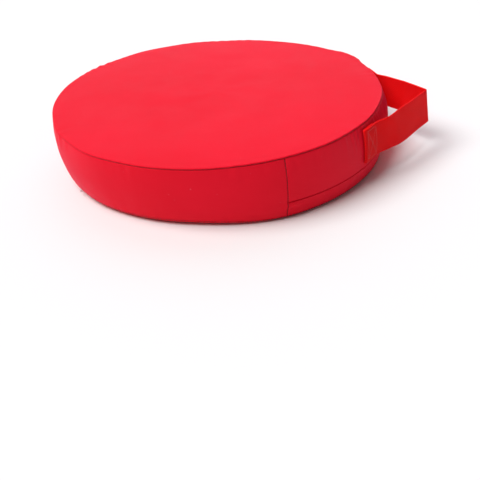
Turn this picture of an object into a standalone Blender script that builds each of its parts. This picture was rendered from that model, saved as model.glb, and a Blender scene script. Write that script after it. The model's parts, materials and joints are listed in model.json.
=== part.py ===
"""Round floor cushion: a foam disc in a sewn cover, with a concealed zip and a webbing handle.

Frame: origin at the centre of the underside, +Z up, handle on +X. Lengths are in metres.
Round the rim, a bearing is an angle in degrees from +X towards +Y. "Front" pieces lie at
negative bearings and "rear" pieces at positive ones.
"""

import math

import bmesh
import bpy
from mathutils import Matrix, Vector

# ---- Driving dimensions: the cover ----
DIAMETER = 0.350            # over the belly of the side band
HEIGHT = 0.065              # underside to the crown of the top panel
CROWN = 0.0026              # rise of the top panel from its edge to its middle
SEAM_INSET = 0.0045         # how far the two edge seams lie inside the belly
UNDERSIDE_LIFT = 0.0015     # rise of the bottom panel from its flat to its edge
UNDERSIDE_MARGIN = 0.009    # width of the rising margin of the bottom panel
FABRIC = 0.001              # thickness of every sewn cover panel
SEAM_DROP = 0.0008          # from a panel's outer face to the thread in its edge seam
THREAD_RADIUS = 0.00035
GAP = 0.0003                # clearance between neighbours that touch

# ---- Driving dimensions: the zip ----
ZIP_HALF_ANGLE = 59.0       # bearing of the two upright seams that end the zip band
ZIP_HEIGHT = 0.0180         # from the underside to the middle of the zip
ZIP_SLIT = 0.0016           # opening between the two fabric strips
TAPE_WIDTH = 0.010
TAPE_THICKNESS = 0.0005
COIL_HEIGHT = 0.0014
COIL_THICKNESS = 0.0018
SLIDER_BEARING = 56.0       # where the closed slider stops
SLIDER_LENGTH = 0.009
SLIDER_HEIGHT = 0.0056
SLIDER_PLATE = 0.0012
NECK_LENGTH = 0.003
NECK_HEIGHT = 0.0009
LUG_WIDTH = 0.0016
LUG_HEIGHT = 0.0030
PULL_LENGTH = 0.0115        # from its pin to its tip
PULL_WIDTH = 0.005
PULL_THICKNESS = 0.001
PULL_PIN_RADIUS = 0.0005
PULL_EAR = 0.0008
SLIDER_EASE = 0.0006        # running clearance behind the coils
FOAM_EASE = 0.0010          # room between the foam and the back of the slider

# ---- Driving dimensions: the handle ----
WEBBING_WIDTH = 0.034
WEBBING_THICKNESS = 0.0015
HANDLE_HEIGHT = 0.0417      # from the underside to the webbing's middle line
HANDLE_ROOT_ANGLE = 21.0    # bearing where each end leaves the side band
HANDLE_TAB_LENGTH = 0.020   # length of each sewn end
HANDLE_REACH = 0.042        # how far the crease stands out beyond the band's belly
CREASE_OFFSET = 0.0145      # the crease lies this far towards the rear end
CREASE_RADIUS = 0.003
LEG_BOW = 0.0015            # outward bow of each leg
HINGE_OUT = 0.015           # from the belly to the line that the handle swings about
SWING_CLEARANCE = 0.0004
STITCH_MARGIN = 0.003       # from the edge of a sewn end to its stitching

# ---- Fineness of the meshes ----
ROUND_STEPS = 72            # facets in a full turn
BAND_ROWS = 7
WEBBING_ROWS = 6
LEG_STEPS = 9

# ---- Sizes that follow ----
BELLY_RADIUS = DIAMETER / 2
SEAM_RADIUS = BELLY_RADIUS - SEAM_INSET
PANEL_RADIUS = SEAM_RADIUS - FABRIC
TOP_EDGE = HEIGHT - CROWN
TOP_SEAM = TOP_EDGE - SEAM_DROP
BOTTOM_SEAM = UNDERSIDE_LIFT + SEAM_DROP
SEAM_HALF_GROOVE = THREAD_RADIUS + GAP
BAND_TOP = TOP_SEAM - SEAM_HALF_GROOVE
BAND_BOTTOM = BOTTOM_SEAM + SEAM_HALF_GROOVE
BAND_MIDDLE = (BAND_TOP + BAND_BOTTOM) / 2
UPRIGHT_HALF_GROOVE = math.degrees((THREAD_RADIUS + 1.5 * GAP) / BELLY_RADIUS)


def band_radius(z):
    """Outer radius of the side band at height z: a shallow arc from seam to seam."""
    share = (z - BAND_MIDDLE) / (BAND_TOP - BAND_MIDDLE)
    return SEAM_RADIUS + SEAM_INSET * (1 - share * share)


ZIP_RADIUS = band_radius(ZIP_HEIGHT)
TAPE_DEPTH = FABRIC + GAP
COIL_DEPTH = TAPE_DEPTH + TAPE_THICKNESS + GAP
LOW_COIL_RADIUS = band_radius(ZIP_HEIGHT - ZIP_SLIT / 2 - COIL_HEIGHT)
SLIDER_OUTER = LOW_COIL_RADIUS - COIL_DEPTH - COIL_THICKNESS - SLIDER_EASE
SLIDER_INNER = SLIDER_OUTER - SLIDER_PLATE
FOAM_RADIUS = SLIDER_INNER - FOAM_EASE
PULL_HOLE_RADIUS = PULL_PIN_RADIUS + GAP
LUG_INNER = ZIP_RADIUS + GAP
LUG_OUTER = LUG_INNER + LUG_HEIGHT
PULL_RADIUS = LUG_INNER + LUG_HEIGHT / 2

TAB_INNER = GAP + WEBBING_THICKNESS / 2
TAB_OUTER = TAB_INNER + WEBBING_THICKNESS + GAP
HINGE_X = BELLY_RADIUS + HINGE_OUT

# ---- Colours: base colour, roughness, metallic ----
FINISHES = {
    "cover_fabric": ((0.80, 0.02, 0.05), 0.55, 0.0),
    "webbing": ((0.78, 0.015, 0.02), 0.70, 0.0),
    "thread": ((0.85, 0.05, 0.06), 0.50, 0.0),
    "zip_tape": ((0.60, 0.01, 0.02), 0.75, 0.0),
    "zip_coil": ((0.60, 0.02, 0.03), 0.35, 0.0),
    "zip_metal": ((0.45, 0.02, 0.03), 0.35, 0.6),
    "foam": ((0.86, 0.84, 0.74), 0.90, 0.0),
}


def clear_scene():
    """Remove everything that the file opened with."""
    for thing in list(bpy.data.objects):
        bpy.data.objects.remove(thing, do_unlink=True)
    for group in list(bpy.data.collections):
        bpy.data.collections.remove(group)


def new_collection(name):
    """A collection under the scene's own."""
    group = bpy.data.collections.new(name)
    bpy.context.scene.collection.children.link(group)
    return group


def finish_material(piece, finish):
    """Give a piece its own Principled material."""
    colour, roughness, metallic = FINISHES[finish]
    material = bpy.data.materials.new(piece.name + "_" + finish)
    material.use_nodes = True
    shader = material.node_tree.nodes["Principled BSDF"]
    shader.inputs["Base Color"].default_value = (*colour, 1.0)
    shader.inputs["Roughness"].default_value = roughness
    shader.inputs["Metallic"].default_value = metallic
    piece.data.materials.append(material)


def add_piece(name, data, finish):
    """Put mesh or curve data in the cushion's collection as a named piece."""
    piece = bpy.data.objects.new(name, data)
    PARTS.objects.link(piece)
    finish_material(piece, finish)
    return piece


def mesh_from(bm, name):
    """A mesh made from a bmesh, which is freed."""
    mesh = bpy.data.meshes.new(name)
    bm.to_mesh(mesh)
    bm.free()
    return mesh


def profile_mesh(name, points):
    """A line of edges through (radius, height) points in the XZ plane."""
    bm = bmesh.new()
    corners = [bm.verts.new((radius, 0.0, height)) for radius, height in points]
    for start, end in zip(corners, corners[1:]):
        bm.edges.new((start, end))
    return mesh_from(bm, name)


def turn(piece, start=0.0, angle=360.0):
    """Turn a profile about Z, from one bearing and through an angle."""
    steps = max(2, round(ROUND_STEPS * angle / 360))
    screw = piece.modifiers.new("turn", "SCREW")
    screw.angle = math.radians(angle)
    screw.steps = steps
    screw.render_steps = steps
    screw.use_merge_vertices = True
    screw.merge_threshold = 0.00001
    piece.rotation_euler.z = math.radians(start)


def thicken(piece, thickness):
    """Give an open surface a thickness on its inner side."""
    solidify = piece.modifiers.new("thickness", "SOLIDIFY")
    solidify.thickness = thickness
    solidify.offset = -1.0


def at_bearing(radius, bearing, z):
    """The point at that radius, bearing and height."""
    angle = math.radians(bearing)
    return Vector((radius * math.cos(angle), radius * math.sin(angle), z))


def spread(low, high, count):
    """Evenly spaced values from low to high, both included."""
    return [low + (high - low) * i / (count - 1) for i in range(count)]


def thread_curve(name, points, closed):
    """A sewing thread through a list of points."""
    curve = bpy.data.curves.new(name, "CURVE")
    curve.dimensions = "3D"
    curve.bevel_depth = THREAD_RADIUS
    curve.bevel_resolution = 1
    curve.use_fill_caps = not closed
    spline = curve.splines.new("POLY")
    spline.points.add(len(points) - 1)
    for place, point in zip(spline.points, points):
        place.co = (*point, 1.0)
    spline.use_cyclic_u = closed
    return add_piece(name, curve, "thread")


# ---- The cover and its foam ----
def crown_height(radius):
    """Height of the top panel's outer face: a flat dome that falls to its edge."""
    share = radius / PANEL_RADIUS
    return TOP_EDGE + CROWN * (1 - share ** 3)


def make_foam_core():
    """The foam disc: crowned like the top panel and flat below, with eased edges."""
    ease = UNDERSIDE_MARGIN / 2
    slant = ease * math.sin(math.radians(45))
    lining = FABRIC + GAP
    corner = FOAM_RADIUS - ease
    upper = crown_height(corner) - lining - ease
    lower = UNDERSIDE_LIFT + GAP + lining + ease
    profile = [(radius, crown_height(radius) - lining) for radius in spread(0.0, corner, 5)]
    profile += [(corner + slant, upper + slant), (FOAM_RADIUS, upper)]
    profile += [(FOAM_RADIUS, lower), (corner + slant, lower - slant)]
    profile += [(FOAM_RADIUS - UNDERSIDE_MARGIN, lining), (0.0, lining)]
    foam = add_piece("foam_core", profile_mesh("foam_core", profile), "foam")
    turn(foam)


def make_top_panel():
    """The round top panel, slightly crowned over the foam."""
    rings = spread(0.0, PANEL_RADIUS, 7)
    profile = [(radius, crown_height(radius)) for radius in rings]
    panel = add_piece("top_panel", profile_mesh("top_panel", profile), "cover_fabric")
    turn(panel)
    thicken(panel, FABRIC)


def make_bottom_panel():
    """The round bottom panel: one flat face with a margin that rises to its seam."""
    bm = bmesh.new()
    flat = PANEL_RADIUS - UNDERSIDE_MARGIN
    bmesh.ops.create_circle(bm, cap_ends=True, segments=ROUND_STEPS, radius=flat)
    bmesh.ops.reverse_faces(bm, faces=bm.faces[:])
    rim = bmesh.ops.extrude_edge_only(bm, edges=bm.edges[:])
    outer = [part for part in rim["geom"] if isinstance(part, bmesh.types.BMVert)]
    growth = Matrix.Scale(PANEL_RADIUS / flat, 4)
    bmesh.ops.transform(bm, matrix=growth, verts=outer)
    bmesh.ops.translate(bm, vec=(0, 0, UNDERSIDE_LIFT), verts=outer)
    panel = add_piece("bottom_panel", mesh_from(bm, "bottom_panel"), "cover_fabric")
    thicken(panel, FABRIC)


def band_profile(low, high, rows, depth=0.0):
    """Profile of a strip that follows the band at a depth inside it, top to bottom."""
    return [(band_radius(z) - depth, z) for z in spread(high, low, rows)]


def make_strip(name, low, high, rows, start, angle, finish, depth=0.0, thickness=FABRIC):
    """A turned strip of cloth or tape that follows the side band."""
    profile = profile_mesh(name, band_profile(low, high, rows, depth))
    strip = add_piece(name, profile, finish)
    turn(strip, start, angle)
    thicken(strip, thickness)
    return strip


def make_side_band():
    """The plain band round the front and back, and the two strips beside the zip."""
    plain = ZIP_HALF_ANGLE + UPRIGHT_HALF_GROOVE
    zipped = ZIP_HALF_ANGLE - UPRIGHT_HALF_GROOVE
    plain_sweep = 360 - 2 * plain
    slit_top = ZIP_HEIGHT + ZIP_SLIT / 2
    slit_bottom = ZIP_HEIGHT - ZIP_SLIT / 2
    cloth = "cover_fabric"
    make_strip("front_band", BAND_BOTTOM, BAND_TOP, BAND_ROWS, plain, plain_sweep, cloth)
    make_strip("zip_band_upper", slit_top, BAND_TOP, BAND_ROWS - 1, -zipped, 2 * zipped, cloth)
    make_strip("zip_band_lower", BAND_BOTTOM, slit_bottom, 4, -zipped, 2 * zipped, cloth)


def make_seam_threads():
    """One thread in each edge seam and in each upright seam."""
    bearings = [360 * i / ROUND_STEPS for i in range(ROUND_STEPS)]
    for name, z in (("top_seam_thread", TOP_SEAM), ("bottom_seam_thread", BOTTOM_SEAM)):
        ring = [at_bearing(SEAM_RADIUS, bearing, z) for bearing in bearings]
        thread_curve(name, ring, closed=True)
    sides = (("side_seam_thread_front", -1), ("side_seam_thread_rear", 1))
    for name, side in sides:
        heights = spread(BAND_BOTTOM, BAND_TOP, BAND_ROWS)
        inner = FABRIC / 2
        line = [at_bearing(band_radius(z) - inner, side * ZIP_HALF_ANGLE, z) for z in heights]
        thread_curve(name, line, closed=False)


# ---- The zip ----
def make_zip_tapes():
    """The two woven tapes behind the strips, and the coil on the edge of each tape."""
    sweep = ZIP_HALF_ANGLE - 2 * UPRIGHT_HALF_GROOVE
    for name, side in (("upper", 1), ("lower", -1)):
        near = ZIP_HEIGHT + side * (ZIP_SLIT / 2 + GAP)
        far = near + side * TAPE_WIDTH
        low, high = sorted((near, far))
        make_strip("zip_tape_" + name, low, high, 4, -sweep, 2 * sweep, "zip_tape",
                   TAPE_DEPTH, TAPE_THICKNESS)
        near = ZIP_HEIGHT + side * ZIP_SLIT / 2
        far = near + side * COIL_HEIGHT
        low, high = sorted((near, far))
        make_strip("zip_coil_" + name, low, high, 2, -sweep, 2 * sweep, "zip_coil",
                   COIL_DEPTH, COIL_THICKNESS)


def add_box(bm, low, high):
    """Add an axis-aligned box between two corners to a bmesh."""
    low = Vector(low)
    high = Vector(high)
    size = high - low
    stretch = Matrix.LocRotScale((low + high) / 2, None, size)
    bmesh.ops.create_cube(bm, size=1.0, matrix=stretch)


def box_mesh(name, low, high):
    """A mesh of one box between two corners."""
    bm = bmesh.new()
    add_box(bm, low, high)
    return mesh_from(bm, name)


def rod_mesh(name, radius, half_length, segments):
    """A cylinder along Y, centred on the origin."""
    bm = bmesh.new()
    upright = Matrix.Rotation(math.radians(90), 4, "X")
    bmesh.ops.create_cone(bm, cap_ends=True, segments=segments, radius1=radius,
                          radius2=radius, depth=2 * half_length, matrix=upright)
    return mesh_from(bm, name)


def add_tool(name, mesh, parent=None):
    """A shape that only cuts or joins others: it is drawn as wire and never rendered."""
    tool = bpy.data.objects.new(name, mesh)
    tool.hide_render = True
    tool.display_type = "WIRE"
    tool.parent = parent
    CUTTERS.objects.link(tool)
    return tool


def combine(piece, tool, operation):
    """Join a tool to a piece, or cut the piece with it."""
    boolean = piece.modifiers.new(operation.lower() + "_" + tool.name, "BOOLEAN")
    boolean.operation = operation
    boolean.solver = "EXACT"
    boolean.object = tool


def make_slider():
    """The slider: a plate behind the coils, a neck through the slit and a lug outside."""
    half_length = SLIDER_LENGTH / 2
    half_height = SLIDER_HEIGHT / 2
    plate = box_mesh("zip_slider", (SLIDER_INNER, -half_length, -half_height),
                     (SLIDER_OUTER, half_length, half_height))
    slider = add_piece("zip_slider", plate, "zip_metal")
    slider.location.z = ZIP_HEIGHT
    slider.rotation_euler.z = math.radians(SLIDER_BEARING)
    neck = add_tool("slider_neck", box_mesh(
        "slider_neck", (SLIDER_OUTER - SLIDER_PLATE / 2, -NECK_LENGTH / 2, -NECK_HEIGHT / 2),
        (LUG_INNER + GAP / 2, NECK_LENGTH / 2, NECK_HEIGHT / 2)), slider)
    lug = add_tool("slider_lug", box_mesh(
        "slider_lug", (LUG_INNER, -LUG_WIDTH / 2, -LUG_HEIGHT / 2),
        (LUG_OUTER, LUG_WIDTH / 2, LUG_HEIGHT / 2)), slider)
    hole = add_tool("lug_hole", rod_mesh("lug_hole", PULL_HOLE_RADIUS, LUG_WIDTH, 16), slider)
    hole.location.x = PULL_RADIUS
    combine(slider, neck, "UNION")
    combine(slider, lug, "UNION")
    combine(slider, hole, "DIFFERENCE")


def make_pull():
    """The pull: a flat tongue that hangs from two ears on a pin through the lug."""
    ear_inner = LUG_WIDTH / 2 + GAP
    ear_outer = ear_inner + PULL_EAR
    lug_corner = math.hypot(LUG_HEIGHT, LUG_HEIGHT) / 2
    tongue_top = -(lug_corner + GAP)
    half = PULL_THICKNESS / 2
    tongue = box_mesh("zip_pull", (-half, -PULL_WIDTH / 2, -PULL_LENGTH),
                      (half, PULL_WIDTH / 2, tongue_top))
    pull = add_piece("zip_pull", tongue, "zip_metal")
    pull.location = at_bearing(PULL_RADIUS, SLIDER_BEARING, ZIP_HEIGHT)
    pull.rotation_euler.z = math.radians(SLIDER_BEARING)
    reach = PULL_PIN_RADIUS + GAP
    for side in (-1, 1):
        low, high = sorted((side * ear_inner, side * ear_outer))
        ear = add_tool("pull_ear", box_mesh(
            "pull_ear", (-half, low, tongue_top - half), (half, high, reach)), pull)
        combine(pull, ear, "UNION")
    pin_half = (ear_inner + ear_outer) / 2
    pin = add_tool("pull_pin", rod_mesh("pull_pin", PULL_PIN_RADIUS, pin_half, 12), pull)
    combine(pull, pin, "UNION")


# ---- The webbing handle ----
def leg_points(side, steps):
    """Plan points of one leg, from its root on the band to the crease, with a slight bow."""
    root = at_bearing(BELLY_RADIUS + TAB_OUTER, side * HANDLE_ROOT_ANGLE, 0.0)
    crease = Vector((BELLY_RADIUS + HANDLE_REACH, CREASE_OFFSET, 0.0))
    along = crease - root
    outward = Vector((abs(along.y), -along.x * math.copysign(1, along.y), 0.0)).normalized()
    shares = spread(0.0, 1.0, steps)
    return [root + along * t + outward * LEG_BOW * math.sin(math.pi * t) for t in shares]


def rounded_crease():
    """Plan points of both legs from root to root, with the crease as a small arc."""
    front = leg_points(-1, LEG_STEPS)
    rear = leg_points(1, LEG_STEPS)
    corner = front[-1]
    toward_front = (front[-2] - corner).normalized()
    toward_rear = (rear[-2] - corner).normalized()
    half_angle = toward_front.angle(toward_rear) / 2
    start = corner + toward_front * (CREASE_RADIUS / math.tan(half_angle))
    end = corner + toward_rear * (CREASE_RADIUS / math.tan(half_angle))
    inward = (toward_front + toward_rear).normalized()
    centre = corner + inward * (CREASE_RADIUS / math.sin(half_angle))
    first = (start - centre).normalized()
    last = (end - centre).normalized()
    arc = [centre + first.slerp(last, share) * CREASE_RADIUS for share in spread(0.0, 1.0, 5)]
    return front[:-1] + arc + rear[-2::-1]


def tab_points(side):
    """Plan points and cling of a sewn end: under layer, fold, then the layer on top."""
    fold = HANDLE_ROOT_ANGLE + math.degrees(HANDLE_TAB_LENGTH / BELLY_RADIUS)
    under = spread(HANDLE_ROOT_ANGLE + 1.0, fold, 4)
    points = [at_bearing(BELLY_RADIUS + TAB_INNER, side * bearing, 0.0) for bearing in under]
    turn_radius = (TAB_OUTER - TAB_INNER) / 2
    middle = BELLY_RADIUS + TAB_INNER + turn_radius
    for share in spread(0.0, 1.0, 5)[1:-1]:
        angle = math.pi * share
        past = math.degrees(turn_radius * math.sin(angle) / BELLY_RADIUS)
        radius = middle - turn_radius * math.cos(angle)
        points.append(at_bearing(radius, side * (fold + past), 0.0))
    over = spread(fold, HANDLE_ROOT_ANGLE, 4)[:-1]
    points += [at_bearing(BELLY_RADIUS + TAB_OUTER, side * bearing, 0.0) for bearing in over]
    return points


def cling(point):
    """How closely the webbing follows the band's curve: 1 on the sewn end, 0 at the hinge."""
    outward = Vector((point.x, point.y)).length - BELLY_RADIUS - TAB_OUTER
    return min(1.0, max(0.0, 1.0 - outward / (HINGE_OUT - TAB_OUTER)))


def webbing_mesh(name, plan):
    """A loft of webbing over plan points, bent to the band's curve where it lies on it."""
    bm = bmesh.new()
    half = WEBBING_WIDTH / 2
    heights = spread(HANDLE_HEIGHT - half, HANDLE_HEIGHT + half, WEBBING_ROWS)
    columns = []
    for point in plan:
        outward = point.normalized()
        column = []
        for z in heights:
            dip = (band_radius(z) - BELLY_RADIUS) * cling(point)
            place = point + outward * dip
            column.append(bm.verts.new((place.x, place.y, z)))
        columns.append(column)
    for left, right in zip(columns, columns[1:]):
        for row in range(WEBBING_ROWS - 1):
            bm.faces.new((left[row], right[row], right[row + 1], left[row + 1]))
    return mesh_from(bm, name)


def add_webbing(name, plan):
    """A stretch of webbing of full thickness, half of it on each side of its plan points."""
    piece = add_piece(name, webbing_mesh(name, plan), "webbing")
    solidify = piece.modifiers.new("thickness", "SOLIDIFY")
    solidify.thickness = WEBBING_THICKNESS
    solidify.offset = 0.0
    return piece


def make_handle():
    """Two sewn ends and the loop between them, parted along a round joint at the hinge."""
    plan = rounded_crease()
    half = WEBBING_WIDTH / 2
    span = BELLY_RADIUS
    far = HINGE_X + DIAMETER
    outer_half = add_tool("outer_half", box_mesh("outer_half", (HINGE_X, -span, -half),
                                                 (far, span, HEIGHT + half)))
    socket = add_tool("hinge_socket", rod_mesh("hinge_socket", half + SWING_CLEARANCE, span, 64))
    socket.location = (HINGE_X, 0.0, HANDLE_HEIGHT)
    knuckle = add_tool("hinge_knuckle", rod_mesh("hinge_knuckle", half - GAP / 2, span * 2, 64))
    knuckle.location = socket.location
    inner_half = add_tool("inner_half", box_mesh("inner_half", (0.0, -span, -half),
                                                 (HINGE_X, span, HEIGHT + half)))
    combine(inner_half, knuckle, "DIFFERENCE")
    middle = len(plan) // 2
    ends = (("handle_end_front", tab_points(-1) + plan[:middle - 1]),
            ("handle_end_rear", (plan[middle + 2:] + tab_points(1)[::-1])))
    for name, route in ends:
        end = add_webbing(name, route)
        combine(end, outer_half, "DIFFERENCE")
        combine(end, socket, "DIFFERENCE")
    loop = add_webbing("handle_loop", plan)
    combine(loop, inner_half, "DIFFERENCE")


def make_handle_stitching():
    """The stitched box on each sewn end of the handle."""
    half = WEBBING_WIDTH / 2 - STITCH_MARGIN
    margin = math.degrees(STITCH_MARGIN / BELLY_RADIUS)
    near = HANDLE_ROOT_ANGLE + margin
    far = HANDLE_ROOT_ANGLE + math.degrees(HANDLE_TAB_LENGTH / BELLY_RADIUS) - margin
    lift = TAB_OUTER + WEBBING_THICKNESS / 2 + GAP + THREAD_RADIUS
    up = spread(HANDLE_HEIGHT - half, HANDLE_HEIGHT + half, 6)
    across = spread(near, far, 4)
    loop = [(near, z) for z in up]
    loop += [(bearing, up[-1]) for bearing in across[1:]]
    loop += [(far, z) for z in up[-2::-1]]
    loop += [(bearing, up[0]) for bearing in across[-2:0:-1]]
    for name, side in (("handle_stitching_front", -1), ("handle_stitching_rear", 1)):
        points = [at_bearing(band_radius(z) + lift, side * bearing, z) for bearing, z in loop]
        thread_curve(name, points, closed=True)


def smooth_round_pieces():
    """Shade curved pieces smooth, with their corners left sharp."""
    for piece in PARTS.objects:
        if piece.type == "MESH":
            piece.data.shade_smooth()
            piece.data.set_sharp_from_angle(angle=math.radians(35))


clear_scene()
PARTS = new_collection("floor_cushion")
CUTTERS = new_collection("cutters")
make_foam_core()
make_top_panel()
make_bottom_panel()
make_side_band()
make_seam_threads()
make_zip_tapes()
make_slider()
make_pull()
make_handle()
make_handle_stitching()
smooth_round_pieces()
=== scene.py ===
# %% [markdown]
# # A round floor cushion
#
# This lesson dresses a plain technical model of a floor cushion in cloth, webbing and thread.
# The technical model, the frame, already holds every piece at its real size. Here each plain
# piece is swapped for a detailed one that sits in the same place and moves with the same body.

import json
import math

import bmesh
import bpy
import numpy as np
from mathutils import Matrix, Vector


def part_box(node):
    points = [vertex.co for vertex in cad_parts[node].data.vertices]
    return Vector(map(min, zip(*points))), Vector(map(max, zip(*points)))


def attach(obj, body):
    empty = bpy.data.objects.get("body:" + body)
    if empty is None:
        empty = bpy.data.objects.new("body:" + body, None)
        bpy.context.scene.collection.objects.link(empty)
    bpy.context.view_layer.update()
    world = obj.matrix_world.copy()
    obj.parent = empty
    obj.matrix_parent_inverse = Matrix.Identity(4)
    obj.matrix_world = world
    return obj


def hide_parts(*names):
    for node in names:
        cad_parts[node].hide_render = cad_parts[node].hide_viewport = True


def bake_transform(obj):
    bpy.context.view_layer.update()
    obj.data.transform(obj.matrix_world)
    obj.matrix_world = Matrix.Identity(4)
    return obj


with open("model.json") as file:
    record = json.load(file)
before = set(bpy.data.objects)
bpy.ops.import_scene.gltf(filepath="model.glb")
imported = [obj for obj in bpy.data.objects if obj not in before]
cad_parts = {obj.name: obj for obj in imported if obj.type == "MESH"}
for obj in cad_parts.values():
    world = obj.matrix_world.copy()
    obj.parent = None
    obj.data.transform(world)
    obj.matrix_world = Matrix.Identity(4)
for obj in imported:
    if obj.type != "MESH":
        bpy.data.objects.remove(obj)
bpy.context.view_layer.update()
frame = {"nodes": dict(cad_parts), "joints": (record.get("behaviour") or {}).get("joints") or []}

# %% [markdown]
# ## The camera
#
# A camera could be dragged by hand until the picture looks right. Instead it is placed by what
# one would note down beside a tripod: how far away it stands, how high, in which direction, and
# how it is tipped. The view is from the front and above, and the cushion is in the upper half.

# %% Place the camera
VIEW_BEARING = math.radians(-77.7)      # from the handle's side towards the front
VIEW_ELEVATION = math.radians(21.9)
VIEW_DISTANCE = 0.853
VIEW_TARGET_HEIGHT = 0.060
VIEW_PAN = math.radians(0.86)
VIEW_TIP = math.radians(32.2)
VIEW_ROLL = math.radians(-4.7)
LENS = 60.0


def place_camera():
    """A level camera looking at the cushion, then panned, tipped and rolled."""
    flat = VIEW_DISTANCE * math.cos(VIEW_ELEVATION)
    rise = VIEW_DISTANCE * math.sin(VIEW_ELEVATION)
    place = Vector((flat * math.cos(VIEW_BEARING), flat * math.sin(VIEW_BEARING),
                    VIEW_TARGET_HEIGHT + rise))
    heading = VIEW_BEARING + math.pi - VIEW_PAN
    forward = Vector((math.cos(heading) * math.cos(VIEW_TIP),
                      math.sin(heading) * math.cos(VIEW_TIP), -math.sin(VIEW_TIP)))
    level = Vector((math.sin(heading), -math.cos(heading), 0.0))
    upright = level.cross(forward)
    right = level * math.cos(VIEW_ROLL) + upright * math.sin(VIEW_ROLL)
    up = upright * math.cos(VIEW_ROLL) - level * math.sin(VIEW_ROLL)
    turned = Matrix((right, up, -forward)).transposed()
    lens = bpy.data.cameras.new("camera")
    lens.lens = LENS
    camera = bpy.data.objects.new("camera", lens)
    camera.matrix_world = Matrix.LocRotScale(place, turned.to_quaternion(), None)
    bpy.context.scene.collection.objects.link(camera)
    bpy.context.scene.camera = camera
    print(f"camera stands {place.z * 1000:.0f} mm high, {flat * 1000:.0f} mm from the middle")


place_camera()

# %% [markdown]
# ## Sizes taken from the frame
#
# Everything made below is worked out from the technical pieces, so that it lies exactly where
# they do. A bearing is an angle round the rim, in degrees from the handle towards the rear.

# %% Read the sizes
seam_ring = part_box("top_seam_thread")
lower_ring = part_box("bottom_seam_thread")
BELLY = -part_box("front_band")[0].x
SEAM_TOP = (seam_ring[0].z + seam_ring[1].z) / 2
SEAM_BOTTOM = (lower_ring[0].z + lower_ring[1].z) / 2
THREAD = (seam_ring[1].z - seam_ring[0].z) / 2
SEAM_RADIUS = seam_ring[1].x - THREAD
CROWN_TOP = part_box("top_panel")[1].z
joints = {joint["name"]: joint for joint in frame["joints"]}
ZIP_HEIGHT = joints["zip_travel"]["pos_m"][2]
STRAP_LOW, STRAP_HIGH = (corner.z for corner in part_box("handle_loop"))
STRAP_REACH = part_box("handle_loop")[1].x


def node_points(node):
    """The corners of a technical piece."""
    return [corner.co.copy() for corner in frame["nodes"][node].data.vertices]


def bearing_of(point):
    """The bearing of a point round the rim, in degrees."""
    return math.degrees(math.atan2(point.y, point.x))


ZIP_END = bearing_of(max(node_points("side_seam_thread_rear"), key=lambda p: p.z))
print(f"belly {BELLY:.4f}, seams {SEAM_BOTTOM:.4f} to {SEAM_TOP:.4f}, zip ends at {ZIP_END:.1f}")

# %% [markdown]
# ## Angles and directions
#
# The cushion is round, so its pieces are drawn by bearing, radius and height rather than by x and
# y. Whole rows of points are worked out at once, as arrays, which is much faster in Python than
# one point at a time.

# %% Write the helpers for angles
def spread(low, high, count):
    """Evenly spaced values from low to high, both included."""
    return [low + (high - low) * i / (count - 1) for i in range(count)]


def from_handle(bearing):
    """Degrees from the middle of the handle's side, whichever way round is shorter."""
    return np.abs((bearing + 180) % 360 - 180)


def around(bearing, radius, height):
    """Points at a bearing, a radius and a height."""
    turn = np.radians(bearing)
    return np.stack([radius * np.cos(turn), radius * np.sin(turn), height], -1)


def unit(rows):
    """Rows of vectors brought to a length of one."""
    return rows / np.linalg.norm(rows, axis=1, keepdims=True)


print("the webbing's side of the rim:", np.round(around(0.0, BELLY, STRAP_HIGH), 4))

# %% [markdown]
# ## Waves and windows
#
# Two kinds of unevenness are used all over the cushion. The small one is a sum of sine waves with
# seeded phases, which closes on itself round the rim and is the same in every run; plain noise
# would not close. The large one is a window: a stretch of the rim with soft ends.

# %% Write waves and windows
def rim_waves(seed, low, high, count):
    """A function of bearing: a sum of waves with low to high periods in a full turn."""
    random = np.random.default_rng(seed)
    periods = random.integers(low, high + 1, count)
    phases = random.uniform(0, 2 * math.pi, count)
    weights = random.uniform(0.4, 1.0, count)
    weights = weights / math.sqrt(float((weights ** 2).sum()) / 2)

    def wave(bearing):
        turns = np.radians(bearing)[..., None] * periods + phases
        return (np.sin(turns) * weights).sum(-1)
    return wave


def smooth(value):
    """A step from 0 to 1 with soft ends."""
    share = np.clip(value, 0.0, 1.0)
    return share * share * (3 - 2 * share)


def window(bearing, low, high, fade):
    """1 between two bearings, with a soft fade outside them."""
    middle, half = (low + high) / 2, (high - low) / 2
    away = from_handle(bearing - middle)
    return smooth((half + fade - away) / fade)


def hump(distance, width):
    """1 at no distance, falling off like a bell."""
    return np.exp(-(distance / width) ** 2)


slow_waves = rim_waves(3, 2, 6, 5)
rim_wobble = rim_waves(5, 9, 19, 5)
gather_waves = rim_waves(11, 60, 118, 9)
pleat_waves = rim_waves(29, 165, 205, 4)
fine_waves = rim_waves(17, 80, 150, 9)
patch_waves = rim_waves(23, 5, 13, 6)
print(f"gather waves are {gather_waves(np.arange(360.0)).std():.2f} strong")

# %% [markdown]
# ## How a soft cushion leaves its plan
#
# On paper the cushion is perfectly round. A sewn one is not: the rim bulges where the foam
# presses, and the lower edge tucks in under the side that carries least. These departures are a
# few millimetres, and each is a window over the bearing. The cloth beside the zip stays nearly
# true, because the slider has to run there.

# %% Describe the uneven rim
LEAN = 0.0072               # how far the lower edge tucks in at the front left
LIFT = 0.0032               # how far it rises there
SHOULDER = 0.0052           # how far the rim bulges at the rear left
CORNER = 0.0045             # how far it bulges at the rear right
HOLLOW = 0.0020             # how far it falls in between the two
CHEEK = 0.0024              # how far the band bulges inside the handle
WOBBLE = 0.0005             # how uneven the seam is all round
ZIP_SIDE = (-62, 62)        # bearings of the length that holds the zip


def tucked(bearing):
    """Where the lower edge tucks in: the front left."""
    return window(bearing, 192, 268, 36)


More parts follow.
